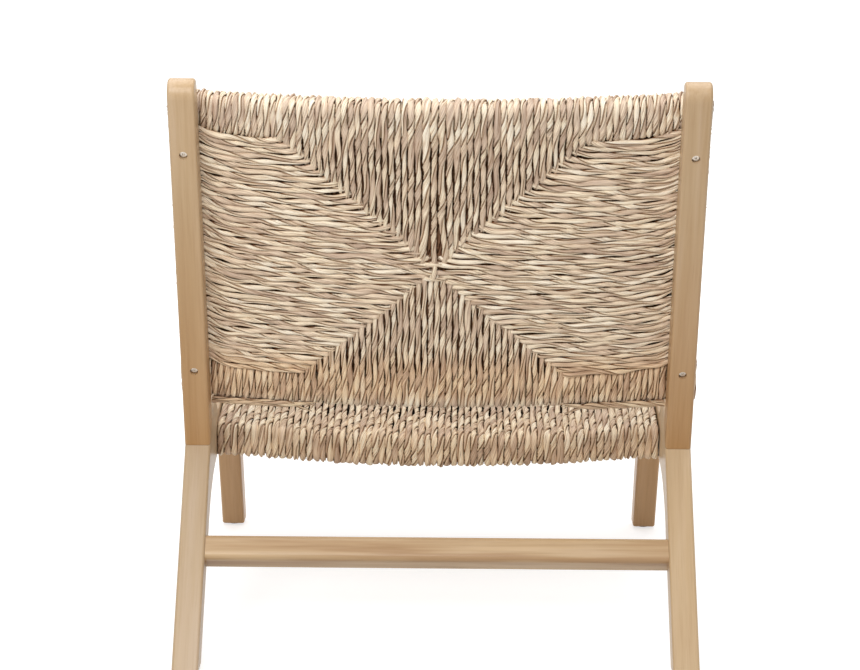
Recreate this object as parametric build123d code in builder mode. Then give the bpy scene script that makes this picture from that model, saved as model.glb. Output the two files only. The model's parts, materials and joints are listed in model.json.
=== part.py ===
"""Low lounge chair: two sawn side frames, a rear stretcher, and a back and a seat
panel, each a bowed timber frame wrapped with twisted leaf cord in an envelope weave.

Units are millimetres and degrees. The chair faces -Y and stands on Z = 0. A point of
the side profile is given as (forward, height): forward is measured from the joint of
post and rear leg towards the front of the chair.
"""
from build123d import *
from math import atan2, cos, hypot, radians, sin, sqrt, tan
import os

os.makedirs("parts", exist_ok=True)

# ---------------------------------------------------------------- driving dimensions
frame_width = 630        # outside to outside of the side frames
stock = 32               # thickness of the side-frame boards
edge_round = 3.5         # round-over along the board edges
glide_height = 3         # plastic glide under each foot

joint_height = 240       # rear corner where the back post meets the rear leg
post_lean = 20           # back post, from upright
post_depth = 36
post_straight = 474      # from the joint to where the rounded top begins

rear_leg_lean = 39       # rear leg, from upright
rear_leg_width = 39      # under the haunch, square to the leg
rear_foot_width = 34

seat_slope = 10          # seat and side rail rise towards the front
rail_start = (90, 203.5)  # lower rear corner of the seat panel, on the rail's underside
rail_depth = 52
rail_front = 528         # forward reach of the side rail
shoulder = (76, 288)     # top of the rear leg, in front of the post
shoulder_foot = 108      # forward distance where the shoulder has come down to the rail

front_foot_heel = 520    # forward distance of the front foot's rear corner
front_leg_lean = 28
front_leg_top_width = 52
front_foot_width = 37.5  # along the floor

# rounded corners of the side frame's outline
shoulder_round, shoulder_foot_round = 14, 45
nose_top_round, nose_low_round = 14, 24
neck_round = 22          # in front of the front leg
crown_round = 85         # between the side rail and the front leg
haunch_round = 165       # between the side rail and the rear leg
foot_round = 4

leg_seam = 98            # forward distance of the seam between rear leg and side rail
stub_length = 34         # stub of the side rail that the front leg is joined to

stretcher_height = 135   # centre of the stretcher's rear face, above the floor
stretcher_face = 32      # along the leg
stretcher_depth = 33     # square to the leg
stretcher_round = 7
stretcher_inset = 2      # forward of the rear faces of the legs
tenon_face, tenon_depth, tenon_length = 20, 18, 18

cord = 6                 # thickness of the cord layer on every rail
back_low, back_high = 45, 460       # lower and upper edge of the back panel, up the post
back_half_width = 320
back_rail_thick = 22
back_top_rail_height, back_bottom_rail_height = 37, 33
back_bow = 22            # the panel bows rearwards between the posts
back_top_opening = 177   # half width of the upper triangle of the weave
back_bottom_opening = 158
back_cross = 239         # height of the crossing of the seams, up the post

seat_length = 432
seat_rail_thick = 30
seat_rail_width = 35
seat_side_width = 30
seat_scoop = 13          # the seat dips between its side rails

back_screw_places = (107.4, 402.5)  # up the post
seat_screw_places = (70, 216, 362)  # forward of the seat's rear edge
counterbore_depth, counterbore_radius = 8, 5
screw_head_radius, screw_head_thick = 4.2, 3
screw_radius, screw_length = 2.2, 44
drive_radius, drive_depth = 2.1, 1.8
plug_thick = counterbore_depth - screw_head_thick
board_dowel_radius, board_dowel_length = 4, 40
post_dowel_shares = (0.45, 0.82)    # of the seam between post and leg, from its rear end
rail_dowel_rises = (17, 44)         # above the underside of the side rail
leg_dowel_places = (-14, -34)       # in front of the front leg's rear face
frame_dowel_radius, frame_dowel_length = 3, 36
frame_dowel_spread = 8   # each frame joint has a pair of dowels, this far off centre
glide_radius = 8
tie_radius = 3           # twisted tie along the back panel's lower edge
tie_inset = 10
wrap_round = 10          # roll of the cord over the outer edges of both panels
end_gap = 1              # between the back frame's ends and the cord that covers them
overshoot = 1            # how far the outlines of the weave's sectors pass the panel

# ---------------------------------------------------------------- derived dimensions
half_width = frame_width / 2
inner_half = half_width - stock
board_centre = half_width - stock / 2
back_thick = back_rail_thick + 2 * cord
seat_thick = seat_rail_thick + 2 * cord

top_radius = post_depth / 2


def along(start, lean, distance):
    """Point at a distance up a line that leans back by the angle lean."""
    return (start[0] - distance * sin(radians(lean)), start[1] + distance * cos(radians(lean)))


def meet(p, p_lean, q, q_lean):
    """Where two profile lines cross; a lean is measured back from upright."""
    px, pz = -sin(radians(p_lean)), cos(radians(p_lean))
    qx, qz = -sin(radians(q_lean)), cos(radians(q_lean))
    run = ((q[0] - p[0]) * qz - (q[1] - p[1]) * qx) / (px * qz - pz * qx)
    return (p[0] + run * px, p[1] + run * pz)


# ---------------------------------------------------------------- side-frame outline
joint = (0, joint_height)
forward_slope = seat_slope - 90      # lean of a line that rises forwards with the seat
post_front = (post_depth * cos(radians(post_lean)),
              joint_height + post_depth * sin(radians(post_lean)))
rail_top = (rail_start[0] - rail_depth * sin(radians(seat_slope)),
            rail_start[1] + rail_depth * cos(radians(seat_slope)))

heel = meet(joint, -rear_leg_lean, (0, glide_height), 90)
rear_toe = (heel[0] + rear_foot_width / cos(radians(rear_leg_lean)), glide_height)
leg_front = (rear_leg_width / cos(radians(rear_leg_lean)), joint_height)
rear_crown = meet(leg_front, -rear_leg_lean, rail_start, forward_slope)
post_root = meet(joint, -rear_leg_lean, post_front, post_lean)
shoulder_low = meet((shoulder_foot, 0), 0, rail_top, forward_slope)
rail_nose_top = meet((rail_front, 0), 0, rail_top, forward_slope)
rail_nose_low = meet((rail_front, 0), 0, rail_start, forward_slope)
front_heel = (front_foot_heel - glide_height * tan(radians(front_leg_lean)), glide_height)
front_toe = (front_heel[0] + front_foot_width, glide_height)
front_crown = meet(front_heel, front_leg_lean, rail_start, forward_slope)
front_neck = meet((front_crown[0] + front_leg_top_width, 0), 0, rail_start, forward_slope)

post_end_rear = along(joint, post_lean, post_straight)
post_end_front = along(post_front, post_lean, post_straight)
post_tip = along(along(joint, post_lean, post_straight + top_radius),
                 post_lean - 90, top_radius)


def foot_reach(corner, lean):
    """How far out a foot reaches once its corner, under a face that leans, is rounded."""
    return abs(corner[0]) - foot_round * (tan(lean) + 1 / cos(lean) - 1)


# the origin is under the middle of the chair: between the rear heel and the front toe
toe_lean = atan2(front_toe[0] - front_neck[0], front_neck[1] - front_toe[1])
joint_y = (foot_reach(front_toe, toe_lean) - foot_reach(heel, radians(rear_leg_lean))) / 2


def profile(forward, height):
    """Side-profile point as a sketch point on Plane.YZ."""
    return (joint_y - forward, height)


def leaning_plane(forward, height, lean):
    """Plane whose z axis leans back from upright, with x across the chair and y rearwards."""
    normal = (0, sin(radians(lean)), cos(radians(lean)))
    return Plane(origin=(0, joint_y - forward, height), x_dir=(1, 0, 0), z_dir=normal)


def upright_of(base, offset=0):
    """Plane across a leaning plane: x across the chair, y up its z axis, facing forward."""
    origin = base.origin - base.y_dir * offset
    return Plane(origin=origin, x_dir=base.x_dir, z_dir=-base.y_dir)


outline = [post_end_front, post_root, shoulder, shoulder_low, rail_nose_top, rail_nose_low,
           front_neck, front_toe, front_heel, front_crown, rear_crown, rear_toe, heel,
           joint, post_end_rear]
rounded_corners = ((shoulder, shoulder_round), (shoulder_low, shoulder_foot_round),
                   (rail_nose_top, nose_top_round), (rail_nose_low, nose_low_round),
                   (front_neck, neck_round), (front_crown, crown_round),
                   (rear_crown, haunch_round), (front_toe, foot_round),
                   (front_heel, foot_round), (rear_toe, foot_round), (heel, foot_round))

with BuildPart() as side_frame:
    with BuildSketch(Plane.YZ.offset(inner_half)) as side_sketch:
        with BuildLine():
            Polyline(*[profile(*point) for point in outline])
            ThreePointArc(profile(*post_end_rear), profile(*post_tip),
                          profile(*post_end_front))
        make_face()
        for corner, radius in rounded_corners:
            spot = profile(*corner)
            fillet(side_sketch.vertices().sort_by_distance((spot[0], spot[1], 0))[0], radius)
    extrude(amount=stock)
    board_faces = side_frame.faces().filter_by(Axis.X).sort_by(Axis.X)
    fillet(board_faces[0].edges() + board_faces[-1].edges(), edge_round)

# seams between the boards of a side frame
post_seam = Plane(origin=(0, joint_y, joint_height), x_dir=(1, 0, 0),
                  z_dir=(0, cos(radians(rear_leg_lean)), sin(radians(rear_leg_lean))))
rail_seam = Plane(origin=(0, joint_y - leg_seam, 0), x_dir=(1, 0, 0), z_dir=(0, -1, 0))
front_leg_axis = Vector(0, sin(radians(front_leg_lean)), cos(radians(front_leg_lean)))
stub_point = along(front_crown, front_leg_lean, -stub_length)
stub_seam = Plane(origin=(0, joint_y - stub_point[0], stub_point[1]), x_dir=(1, 0, 0),
                  z_dir=front_leg_axis)
with BuildPart(stub_seam) as front_leg_zone:
    Box(2 * frame_width, 3 * front_leg_top_width, 2 * joint_height,
        align=(Align.CENTER, Align.CENTER, Align.MAX))


def rod(origin, direction, radius, length):
    """Round pin of the given length, centred on origin."""
    with BuildPart() as pin:
        with BuildSketch(Plane(origin=origin - direction * length / 2, z_dir=direction)):
            Circle(radius)
        extrude(amount=length)
    return pin.part


def seam_dowels(plane, places):
    """Dowels square to a seam, at distances along its y direction, in both side frames."""
    spots = [plane.origin + plane.y_dir * place + Vector(sign * board_centre, 0, 0)
             for sign in (1, -1) for place in places]
    return [rod(spot, plane.z_dir, board_dowel_radius, board_dowel_length) for spot in spots]


def save(builder, name):
    """Label a finished piece and write it as its own STEP file."""
    builder.part.label = name
    export_step(builder.part, f"parts/{name}.step")


def save_group(solids, name):
    """Write alike small pieces as one node of separate solids."""
    with BuildPart() as group:
        add(solids)
    save(group, name)


sides = (("left", 1), ("right", -1))
back_plane = leaning_plane(0, joint_height, post_lean)
back_face = upright_of(back_plane)
seat_plane = leaning_plane(rail_start[0], rail_start[1], seat_slope)

# ---------------------------------------------------------------- dowels of the boards
seam_length = hypot(post_root[0], post_root[1] - joint_height)
post_dowels = seam_dowels(post_seam, [-seam_length * share for share in post_dowel_shares])
rail_dowels = seam_dowels(rail_seam, [rail_start[1] + rise for rise in rail_dowel_rises])
front_leg_dowels = seam_dowels(stub_seam, leg_dowel_places)

# ---------------------------------------------------------------- screws and plugs
with BuildPart() as screw:
    with BuildSketch(Plane.XY.offset(-counterbore_depth)):
        Circle(screw_head_radius)
    extrude(amount=screw_head_thick)
    with BuildSketch(Plane.XY.offset(-counterbore_depth)):
        Circle(screw_radius)
    extrude(amount=-screw_length)
    with BuildSketch(Plane.XY.offset(-plug_thick)):
        RegularPolygon(drive_radius, 6)
    extrude(amount=-drive_depth, mode=Mode.SUBTRACT)

back_screw_seats = [Location(Plane(origin=back_plane.origin + back_plane.z_dir * place
                                   + Vector(sign * board_centre, 0, 0),
                                   x_dir=(1, 0, 0), z_dir=back_plane.y_dir))
                    for _, sign in sides for place in back_screw_places]
seat_screw_seats = [Location(Plane(origin=seat_plane.origin - seat_plane.y_dir * place
                                   + seat_plane.z_dir * seat_thick / 2
                                   + Vector(sign * half_width, 0, 0),
                                   x_dir=(0, 1, 0), z_dir=(sign, 0, 0)))
                    for _, sign in sides for place in seat_screw_places]

with BuildPart() as back_screws:
    with Locations(*back_screw_seats):
        add(screw.part)
save(back_screws, "back_screws")

with BuildPart() as seat_screws:
    with Locations(*seat_screw_seats):
        add(screw.part)
save(seat_screws, "seat_screws")

with BuildPart() as seat_plugs:
    with Locations(*seat_screw_seats):
        Cylinder(counterbore_radius, plug_thick, align=(Align.CENTER, Align.CENTER, Align.MAX))
save(seat_plugs, "seat_screw_plugs")

# ---------------------------------------------------------------- rear stretcher
stretcher_spot = meet(joint, -rear_leg_lean, (0, stretcher_height), 90)
stretcher_plane = leaning_plane(stretcher_spot[0], stretcher_spot[1], -rear_leg_lean)
section_centre = (stretcher_plane.origin
                  - stretcher_plane.y_dir * (stretcher_inset + stretcher_depth / 2))
section_plane = Plane(origin=section_centre, x_dir=stretcher_plane.y_dir, z_dir=(-1, 0, 0))

with BuildPart() as rear_stretcher:
    with BuildSketch(section_plane):
        RectangleRounded(stretcher_depth, stretcher_face, stretcher_round)
    extrude(amount=inner_half, both=True)
    with BuildSketch(section_plane):
        Rectangle(tenon_depth, tenon_face)
    extrude(amount=inner_half + tenon_length, both=True)
save(rear_stretcher, "rear_stretcher")

# ---------------------------------------------------------------- side-frame boards
for side, sign in sides:
    with BuildPart() as board:
        with Locations(((sign - 1) * board_centre, 0, 0)):
            add(side_frame.part)

    with BuildPart() as back_post:
        add(board.part)
        split(bisect_by=post_seam, keep=Keep.TOP)
        with Locations(*back_screw_seats):
            CounterBoreHole(screw_radius, counterbore_radius, counterbore_depth,
                            counterbore_depth + screw_length)
        add(post_dowels, mode=Mode.SUBTRACT)
    save(back_post, f"back_post_{side}")

    with BuildPart() as rear_leg:
        add(board.part)
        split(bisect_by=post_seam, keep=Keep.BOTTOM)
        split(bisect_by=rail_seam, keep=Keep.BOTTOM)
        add(post_dowels + rail_dowels + [rear_stretcher.part], mode=Mode.SUBTRACT)
    save(rear_leg, f"rear_leg_{side}")

    with BuildPart() as side_rail:
        add(board.part)
        split(bisect_by=rail_seam, keep=Keep.TOP)
        add(front_leg_zone.part, mode=Mode.SUBTRACT)
        with Locations(*seat_screw_seats):
            CounterBoreHole(screw_radius, counterbore_radius, counterbore_depth,
                            counterbore_depth + screw_length)
        add(rail_dowels + front_leg_dowels, mode=Mode.SUBTRACT)
    save(side_rail, f"side_rail_{side}")

    with BuildPart() as front_leg:
        add(board.part)
        add(front_leg_zone.part, mode=Mode.INTERSECT)
        add(front_leg_dowels, mode=Mode.SUBTRACT)
    save(front_leg, f"front_leg_{side}")

save_group(post_dowels, "post_dowels")
save_group(rail_dowels, "side_rail_dowels")
save_group(front_leg_dowels, "front_leg_dowels")

glide_places = [(heel[0] + rear_toe[0]) / 2, (front_heel[0] + front_toe[0]) / 2]
with BuildPart() as foot_glides:
    with Locations(*[(sign * board_centre, joint_y - forward)
                     for _, sign in sides for forward in glide_places]):
        Cylinder(glide_radius, glide_height, align=(Align.CENTER, Align.CENTER, Align.MIN))
save(foot_glides, "foot_glides")


# ---------------------------------------------------------------- bent frames
def bent_band(half_length, half_bend, bend, near, far):
    """Band from near to far, straight at both ends and bent by bend between them."""
    with BuildLine() as band:
        Polyline((half_bend, near), (half_length, near), (half_length, far), (half_bend, far))
        ThreePointArc((half_bend, far), (0, far + bend), (-half_bend, far))
        Polyline((-half_bend, far), (-half_length, far), (-half_length, near),
                 (-half_bend, near))
        ThreePointArc((-half_bend, near), (0, near + bend), (half_bend, near))
    make_face(band.edges())


def frame_dowels(centre, direction, spread_dir):
    """Pair of dowels through one joint of a bent frame."""
    return [rod(centre + spread_dir * offset, direction, frame_dowel_radius,
                frame_dowel_length) for offset in (-frame_dowel_spread, frame_dowel_spread)]


across = Vector(1, 0, 0)

# back frame: rails lie in front of the posts, inside the wrapped cord
back_near = -(post_depth + back_thick)
back_far = -post_depth
back_rail_mid = (back_near + back_far) / 2
back_rail_half = back_half_width - cord - end_gap
back_side_width = back_rail_half - inner_half
low_rail_top = back_low + cord + back_bottom_rail_height
top_rail_low = back_high - cord - back_top_rail_height

back_dowels = []
for _, sign in sides:
    for height in (low_rail_top, top_rail_low):
        joint_centre = (back_plane.origin + back_plane.z_dir * height
                        + back_plane.y_dir * back_rail_mid
                        + across * sign * (inner_half + back_side_width / 2))
        back_dowels += frame_dowels(joint_centre, back_plane.z_dir, across)
save_group(back_dowels, "back_frame_dowels")

with BuildPart() as back_top_rail:
    with BuildSketch(back_plane.offset(top_rail_low)):
        bent_band(back_rail_half, inner_half, back_bow, back_near + cord, back_far - cord)
    extrude(amount=back_top_rail_height)
    add(back_dowels, mode=Mode.SUBTRACT)
save(back_top_rail, "back_top_rail")

with BuildPart() as back_bottom_rail:
    with BuildSketch(back_plane.offset(back_low + cord)):
        bent_band(back_rail_half, inner_half, back_bow, back_near + cord, back_far - cord)
    extrude(amount=back_bottom_rail_height)
    add(back_dowels, mode=Mode.SUBTRACT)
save(back_bottom_rail, "back_bottom_rail")

back_frame = [back_top_rail.part, back_bottom_rail.part, back_screws.part] + back_dowels
for side, sign in sides:
    with BuildPart() as back_side_rail:
        with BuildSketch(back_plane.offset(low_rail_top)):
            with Locations((sign * (inner_half + back_side_width / 2), back_rail_mid)):
                Rectangle(back_side_width, back_rail_thick)
        extrude(amount=top_rail_low - low_rail_top)
        add(back_dowels + [back_screws.part], mode=Mode.SUBTRACT)
    save(back_side_rail, f"back_side_rail_{side}")
    back_frame.append(back_side_rail.part)

# seat frame: fits between the side frames, its front and rear rails scooped downwards
seat_bend_half = inner_half - cord - seat_side_width
seat_rail_half = inner_half - cord
seat_front_rail_start = seat_length - cord - seat_rail_width

seat_dowels = []
for _, sign in sides:
    for forward in (cord + seat_rail_width, seat_front_rail_start):
        joint_centre = (seat_plane.origin - seat_plane.y_dir * forward
                        + seat_plane.z_dir * seat_thick / 2
                        + across * sign * (seat_bend_half + seat_side_width / 2))
        seat_dowels += frame_dowels(joint_centre, seat_plane.y_dir, across)
save_group(seat_dowels, "seat_frame_dowels")

seat_frame = [seat_screws.part] + seat_dowels
for name, forward in (("seat_rear_rail", cord), ("seat_front_rail", seat_front_rail_start)):
    with BuildPart() as seat_rail:
        with BuildSketch(upright_of(seat_plane, forward)):
            bent_band(seat_rail_half, seat_bend_half, -seat_scoop, cord, cord + seat_rail_thick)
        extrude(amount=seat_rail_width)
        add(seat_dowels, mode=Mode.SUBTRACT)
    save(seat_rail, name)
    seat_frame.append(seat_rail.part)

for side, sign in sides:
    with BuildPart() as seat_side_rail:
        with BuildSketch(upright_of(seat_plane, cord + seat_rail_width)):
            with Locations((sign * (seat_bend_half + seat_side_width / 2), seat_thick / 2)):
                Rectangle(seat_side_width, seat_rail_thick)
        extrude(amount=seat_front_rail_start - cord - seat_rail_width)
        add(seat_dowels + [seat_screws.part], mode=Mode.SUBTRACT)
    save(seat_side_rail, f"seat_side_rail_{side}")
    seat_frame.append(seat_side_rail.part)

# ---------------------------------------------------------------- woven panels
# each slab is made upright over the origin, then leaned into its place
with BuildPart() as back_slab:
    with BuildSketch(Plane.XY.offset(back_low)):
        bent_band(back_half_width, inner_half, back_bow, back_near, back_far)
    extrude(amount=back_high - back_low)
    back_ends = back_slab.faces().sort_by(Axis.Z)
    fillet(back_ends[0].edges() + back_ends[-1].edges(), wrap_round)
leaning_back_slab = back_slab.part.moved(back_plane.location)

low_wrap = low_rail_top + cord
top_wrap = top_rail_low - cord
w, crossing = back_half_width + overshoot, (0, back_cross)
back_sectors = {
    "back_weave_top": [(-w, back_high + overshoot), (w, back_high + overshoot),
                       (w, top_wrap), (back_top_opening, top_wrap), crossing,
                       (-back_top_opening, top_wrap), (-w, top_wrap)],
    "back_weave_bottom": [(-w, back_low - overshoot), (w, back_low - overshoot),
                          (w, low_wrap), (back_bottom_opening, low_wrap), crossing,
                          (-back_bottom_opening, low_wrap), (-w, low_wrap)],
}
for side, sign in sides:
    back_sectors[f"back_weave_{side}"] = [
        (sign * w, top_wrap), (sign * back_top_opening, top_wrap), crossing,
        (sign * back_bottom_opening, low_wrap), (sign * w, low_wrap)]

for name, corners in back_sectors.items():
    with BuildPart() as back_weave:
        add(leaning_back_slab)
        with BuildSketch(back_face):
            with BuildLine():
                Polyline(*corners, close=True)
            make_face()
        extrude(amount=post_depth + 2 * back_thick, mode=Mode.INTERSECT)
        add(back_frame, mode=Mode.SUBTRACT)
    save(back_weave, name)

with BuildPart() as seat_slab:
    with BuildSketch(upright_of(Plane.XY)):
        bent_band(inner_half, seat_bend_half, -seat_scoop, 0, seat_thick)
    extrude(amount=seat_length)
    seat_ends = seat_slab.faces().sort_by(Axis.Y)
    long_edges = (seat_ends[0].edges() + seat_ends[-1].edges()).filter_by(Axis.Z, reverse=True)
    fillet(long_edges, wrap_round)
leaning_seat_slab = seat_slab.part.moved(seat_plane.location)

side_wrap = cord + seat_rail_width + cord
seat_opening = (seat_length - 2 * side_wrap) / 2
w, crossing = inner_half + overshoot, (0, -seat_length / 2)
rear_line, front_line = -side_wrap, -(seat_length - side_wrap)
seat_sectors = {
    "seat_weave_rear": [(-w, overshoot), (w, overshoot), (w, rear_line),
                        (seat_opening, rear_line), crossing,
                        (-seat_opening, rear_line), (-w, rear_line)],
    "seat_weave_front": [(-w, -seat_length - overshoot), (w, -seat_length - overshoot),
                         (w, front_line), (seat_opening, front_line), crossing,
                         (-seat_opening, front_line), (-w, front_line)],
}
for side, sign in sides:
    seat_sectors[f"seat_weave_{side}"] = [
        (sign * w, rear_line), (sign * seat_opening, rear_line), crossing,
        (sign * seat_opening, front_line), (sign * w, front_line)]

for name, corners in seat_sectors.items():
    with BuildPart() as seat_weave:
        add(leaning_seat_slab)
        with BuildSketch(seat_plane.offset(-seat_thick)):
            with BuildLine():
                Polyline(*corners, close=True)
            make_face()
        extrude(amount=3 * seat_thick, mode=Mode.INTERSECT)
        add(seat_frame, mode=Mode.SUBTRACT)
    save(seat_weave, name)

# ---------------------------------------------------------------- ties of the back panel
bend_radius = (inner_half ** 2 + back_bow ** 2) / (2 * back_bow)


def bow_at(x):
    """How far the back panel bows rearwards at x."""
    return sqrt(bend_radius ** 2 - x ** 2) - (bend_radius - back_bow)


for side, sign in sides:
    tie_stations = (inner_half, (inner_half + back_bottom_opening) / 2, back_bottom_opening)
    with BuildPart() as tie:
        with BuildLine(back_plane.offset(back_low - tie_radius)) as tie_path:
            ThreePointArc(*[(sign * x, back_far - tie_inset + bow_at(x)) for x in tie_stations])
        with BuildSketch(Plane(origin=tie_path.line @ 0, z_dir=tie_path.line % 0)):
            Circle(tie_radius)
        sweep()
    save(tie, f"back_tie_{side}")
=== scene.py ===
"""Visual model of a low lounge chair: oiled boards, two panels of twisted leaf cord in an
envelope weave, floor, light and camera. Lengths are metres, and millimetres where MM is used."""
import json
from math import ceil, cos, pi, radians, sin, tau
from random import Random

import bpy
import numpy as np
from mathutils import Matrix, Vector


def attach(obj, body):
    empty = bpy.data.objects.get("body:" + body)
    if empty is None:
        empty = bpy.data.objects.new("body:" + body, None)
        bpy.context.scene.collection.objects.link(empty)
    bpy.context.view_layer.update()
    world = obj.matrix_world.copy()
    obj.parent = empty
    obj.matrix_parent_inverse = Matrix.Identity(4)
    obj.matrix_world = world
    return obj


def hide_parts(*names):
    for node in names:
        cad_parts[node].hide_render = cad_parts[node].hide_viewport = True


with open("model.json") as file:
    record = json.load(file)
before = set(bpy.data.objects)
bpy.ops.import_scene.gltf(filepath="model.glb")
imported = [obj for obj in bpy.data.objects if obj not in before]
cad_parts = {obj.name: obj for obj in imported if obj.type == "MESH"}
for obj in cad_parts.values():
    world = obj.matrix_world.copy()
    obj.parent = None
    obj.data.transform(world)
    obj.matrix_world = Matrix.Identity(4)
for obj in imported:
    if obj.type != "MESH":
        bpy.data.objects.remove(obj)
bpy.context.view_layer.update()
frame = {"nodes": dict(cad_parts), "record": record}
nodes = frame["nodes"]
MM = 0.001

# ------------------------------------------------------------ the chair's places, in mm
JOINT_Y, JOINT_Z = 183.071, 240    # rear corner where back post and rear leg meet
POST_LEAN, SEAT_SLOPE = radians(20), radians(10)
REAR_LEG_LEAN, FRONT_LEG_LEAN = radians(39), radians(28)
SEAT_FORWARD, SEAT_Z = 90, 203.5   # lower rear corner of the seat panel
INNER_HALF = 283                   # middle of the chair to the inner side of a side frame
BACK_DEPTH = 53                    # line of the posts' rear corners to the back panel's middle
SEAT_DEPTH = 21                    # underside of the seat panel to its middle
SEAM_POWER = 0.7                   # how soon the strands sink from a corner to the crossing


class Panel:
    """A woven panel: u runs across the chair, v along the panel, n out of its bulging face.

    Its sizes, where end 1 is the upper or rear end and -1 the other one:
    bend, bend_half       depth and half length of its bow
    high, low             half height of the cord's centre lines at the rails and the crossing
    crossing              v where the seams cross
    ends, rails           v of the outermost centre lines and of the end rails' inner sides
    openings, counts      half base of each triangle, and its strands on either side
    core_ends             v where the inner layer starts and stops
    side_edge, side_rail  u of the outermost centre line and of the side rails' inner sides
    offset                how far the crossing lies to the side
    rise                  climb of the strands beside the side frames, close to them and wider
    hook                  bend beside the seam of the strands that run across
    spread                share by which the strands thin out in front of the rear rail
    parted                end whose middle strands stand apart, or 0
    """

    def __init__(self, origin, v_dir, n_dir, **sizes):
        self.origin, self.v_dir, self.n_dir = map(np.array, (origin, v_dir, n_dir))
        self.__dict__.update(sizes)
        self.bend_radius = (self.bend_half ** 2 + self.bend ** 2) / (2 * self.bend)

    def bulge(self, u):
        """How far the middle of the panel's thickness bows out at u."""
        u = np.minimum(np.abs(u), self.bend_half)
        return np.sqrt(self.bend_radius ** 2 - u ** 2) - (self.bend_radius - self.bend)

    def seam(self, end, side, share):
        """(u, v) on a seam, share of the way from its corner to the crossing."""
        opening, rail = self.openings[end], self.rails[end]
        return (side * opening * (1 - share) + self.offset,
                rail + (self.crossing - rail) * share)

    def height(self, share):
        """Half height of the strands' centre lines beside the seam."""
        return self.high - (self.high - self.low) * share ** SEAM_POWER

    def world(self, u, v, n):
        """Points of the panel in the shared frame, in metres."""
        spots = (self.origin + np.outer(u, (1, 0, 0)) + np.outer(v, self.v_dir)
                 + np.outer(n, self.n_dir))
        return spots * MM


back = Panel((0, JOINT_Y - BACK_DEPTH * cos(POST_LEAN), JOINT_Z + BACK_DEPTH * sin(POST_LEAN)),
             (0, sin(POST_LEAN), cos(POST_LEAN)), (0, cos(POST_LEAN), -sin(POST_LEAN)),
             bend=22, bend_half=283, high=14, low=6.5, crossing=239,
             ends={1: 456.5, -1: 48.5}, rails={1: 411, -1: 90}, openings={1: 185, -1: 167},
             counts={1: 24, -1: 22}, core_ends=(90, 411), side_edge=316.5, side_rail=280,
             offset=6, rise=(6, 7), hook={1: 3.5, -1: 1}, spread=0, parted=1)
seat = Panel((0, JOINT_Y - SEAT_FORWARD + SEAT_DEPTH * sin(SEAT_SLOPE),
              SEAT_Z + SEAT_DEPTH * cos(SEAT_SLOPE)),
             (0, cos(SEAT_SLOPE), -sin(SEAT_SLOPE)), (0, -sin(SEAT_SLOPE), -cos(SEAT_SLOPE)),
             bend=13, bend_half=247, high=18, low=8, crossing=-216,
             ends={1: -3.5, -1: -428.5}, rails={1: -132, -1: -385}, openings={1: 169, -1: 169},
             counts={1: 20, -1: 20}, core_ends=(-385, -40), side_edge=279.2, side_rail=244,
             offset=0, rise=(0, 0), hook={1: 2, -1: 2}, spread=0.2, parted=0)

# ------------------------------------------------------------ strand paths
STEP, CORE_STEP, TURN_STEP = 4.2, 9, 2.5   # between points of a strand, an inner one, a turn
STRAND = 7.2           # width of a strand at girth 1
TWIST = 60             # one full turn of the two plies
LONG_TWIST = 88        # and of the strands that run across the panel
SLACK, TIGHT = 0.78, 1.25   # slowest and fastest twist, as shares of the usual one
ROLL = 7               # radius of a centre line round a rail's outer corner
INNER_ROLL = 4         # and round its inner corner
COIL_ROLL = 3          # and round the inner corners of a coil on a rail's end
GIRTH_PLAY = 0.08      # share by which girth varies along a strand and between strands
TURN_PLAY = 0.8        # unevenness of the twist, radians
LOOP_DRIFT, FREE_DRIFT = (0.35, 0.35), (0.75, 0.7)   # unevenness sideways and in depth
SIDE_WAVE, DEPTH_WAVE, GIRTH_WAVE, TURN_WAVE, CORE_WAVE = 55, 40, 60, 90, 80
FIELD_WAVE, FIELD_RATE = 75, 2.2     # length and rate of the drift that neighbours share
FIELD_COUNT, RIPPLE_COUNT = 9, 3     # waves in the drift and in a strand's own line
FIELD_SIZE, RIPPLE_SIZE = 3.2, 1.9   # sums of those waves that count as 1
RIPPLE_SPAN = (0.6, 1.7)             # shortest and longest wave of a strand's own line
rng = Random(7)
field_waves = [(rng.uniform(-1, 1), rng.uniform(-1, 1), rng.uniform(0, tau))
               for _ in range(FIELD_COUNT)]


def field(u, v):
    """Slow sideways drift that neighbouring strands share, about -1 to 1."""
    total = sum(np.sin((a * u + b * v) / FIELD_WAVE * FIELD_RATE + c)
                for a, b, c in field_waves)
    return total / FIELD_SIZE


def ripple(run, rand, length, loop=0):
    """A strand's own uneven line, about -1 to 1; on a closed loop it meets itself."""
    total = 0
    for _ in range(RIPPLE_COUNT):
        wave = length * rand.uniform(*RIPPLE_SPAN)
        if loop:
            wave = loop / max(1, round(loop / wave))
        total = total + np.sin(run * tau / wave + rand.uniform(0, tau))
    return total / RIPPLE_SIZE


def smooth(x):
    """Soft step from 0 to 1."""
    x = np.clip(x, 0, 1)
    return x * x * (3 - 2 * x)


CUT, CUT_ROUNDS = 0.25, 2   # share of an edge that a corner's cut takes, and how often
FEWEST_STEPS = 4
CORNER_POINTS = 4           # of a section at a rail's corner


def cut_corners(points):
    """Polyline with its corners cut off, so that the strand bends softly."""
    p = np.array(points, float)
    for _ in range(CUT_ROUNDS):
        q = np.empty((2 * len(p), p.shape[1]))
        q[0], q[-1] = p[0], p[-1]
        q[1:-1:2] = (1 - CUT) * p[:-1] + CUT * p[1:]
        q[2:-1:2] = CUT * p[:-1] + (1 - CUT) * p[1:]
        p = q
    return p


def evenly(points, step):
    """The polyline again with even steps, and the run at each point."""
    gaps = np.sqrt((np.diff(points, axis=0) ** 2).sum(1))
    run = np.concatenate(([0], np.cumsum(gaps)))
    stops = np.linspace(0, run[-1], max(FEWEST_STEPS, ceil(run[-1] / step)) + 1)
    return stops, np.stack([np.interp(stops, run, col) for col in points.T], 1)


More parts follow.
